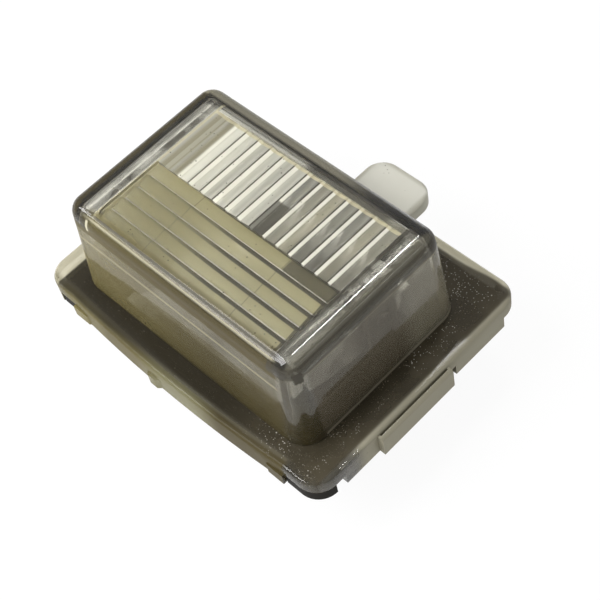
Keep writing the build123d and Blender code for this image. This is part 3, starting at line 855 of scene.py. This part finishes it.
def floor_finish(colours):
    """Pale floor that the camera, metal and glass see as white, and that keeps the shadow."""
    shader = material("pale_floor")
    camera, glossy, through = shader.rays("Camera", "Glossy", "Transmission")
    white_share = (camera * FLOOR_WHITE_TO_CAMERA).most(glossy.most(through) * FLOOR_WHITE_IN_LAMP)
    plain = shader.principled(base_color=colours.floor, roughness=0.9, specular_ior_level=0.1)
    white = shader.node("ShaderNodeEmission", sockets={"Color": WHITE, "Strength": 1.0})
    return shader.done(shader.mix(white_share, plain, white))


def white_world(strength):
    """Even light all round, which the camera sees as white, also through clear plastic."""
    shader = Shader(bpy.data.worlds.new("studio"))
    camera, through = shader.rays("Camera", "Transmission")
    even = shader.node("ShaderNodeBackground", sockets={"Color": WHITE, "Strength": strength})
    white = shader.node("ShaderNodeBackground", sockets={"Color": WHITE, "Strength": 1.0})
    return shader.done(shader.mix(camera.most(through), even, white), output="ShaderNodeOutputWorld")


def add_floor(colours):
    """A wide plane just under the lamp."""
    bm = bmesh.new()
    bmesh.ops.create_grid(bm, x_segments=1, y_segments=1, size=FLOOR_HALF_SIZE)
    mesh = bpy.data.meshes.new("floor")
    bm.to_mesh(mesh)
    bm.free()
    mesh.materials.append(floor_finish(colours))
    floor = bpy.data.objects.new("floor", mesh)
    floor.location.z = CAD_BOX[0].z - FLOOR_GAP
    bpy.context.scene.collection.objects.link(floor)


def add_light(name, power, size, place, aim):
    """A soft rectangular light that faces a point."""
    light = bpy.data.lights.new(name, "AREA")
    light.shape = "RECTANGLE"
    light.size, light.size_y = size
    light.energy = power
    holder = bpy.data.objects.new(name, light)
    holder.location = place
    holder.rotation_euler = (Vector(aim) - Vector(place)).to_track_quat("-Z", "Y").to_euler()
    bpy.context.scene.collection.objects.link(holder)


def add_camera(stage):
    """The camera, turned to the point that it looks at."""
    camera = bpy.data.cameras.new("camera")
    camera.lens = stage.focal
    holder = bpy.data.objects.new("camera", camera)
    level = cos(stage.elevation)
    back = Vector((sin(stage.azimuth) * level, -cos(stage.azimuth) * level, sin(stage.elevation)))
    turn = (-back).to_track_quat("-Z", "Y").to_matrix() @ Matrix.Rotation(stage.roll, 3, "Z")
    holder.matrix_world = Matrix.Translation(Vector(stage.aim) + back * stage.distance) @ turn.to_4x4()
    bpy.context.scene.collection.objects.link(holder)
    bpy.context.scene.camera = holder


class LAMP_OT_stage(bpy.types.Operator):
    """Make the floor, the light and the camera"""

    bl_idname = "lamp.stage"
    bl_label = "Stage"

    def execute(self, context):
        scene, stage = context.scene, context.scene.lamp_stage
        add_floor(scene.lamp_colours)
        scene.world = white_world(stage.world)
        add_light("key", stage.key, KEY_SIZE, KEY_PLACE, stage.aim)
        add_light("edge", stage.edge, EDGE_SIZE, EDGE_PLACE, stage.aim)
        add_camera(stage)
        scene.view_settings.view_transform = "Standard"
        return {"FINISHED"}


OPERATORS = [LAMP_OT_lens, LAMP_OT_base, LAMP_OT_tray, LAMP_OT_bulb, LAMP_OT_contacts, LAMP_OT_stage]


class LAMP_PT_panel(bpy.types.Panel):
    """Lists the lamp's pieces and their settings"""

    bl_idname = "LAMP_PT_panel"
    bl_label = "Number plate lamp"
    bl_space_type = "VIEW_3D"
    bl_region_type = "UI"
    bl_category = "Lamp"

    def draw(self, context):
        for operator in OPERATORS:
            self.layout.operator(operator.bl_idname)
        for group in (context.scene.lamp_colours, context.scene.lamp_stage):
            for name in group.__annotations__:
                self.layout.prop(group, name)


GROUPS = {"lamp_colours": LampColours, "lamp_stage": LampStage}
CLASSES = [*GROUPS.values(), *OPERATORS, LAMP_PT_panel]


def register():
    for each in CLASSES:
        bpy.utils.register_class(each)
    for name, group in GROUPS.items():
        setattr(bpy.types.Scene, name, PointerProperty(type=group))


def unregister():
    for name in GROUPS:
        delattr(bpy.types.Scene, name)
    for each in reversed(CLASSES):
        bpy.utils.unregister_class(each)


def main():
    register()
    bpy.ops.lamp.lens()
    bpy.ops.lamp.base()
    bpy.ops.lamp.tray()
    bpy.ops.lamp.bulb()
    bpy.ops.lamp.contacts()
    bpy.ops.lamp.stage()


if __name__ == "__main__":
    main()
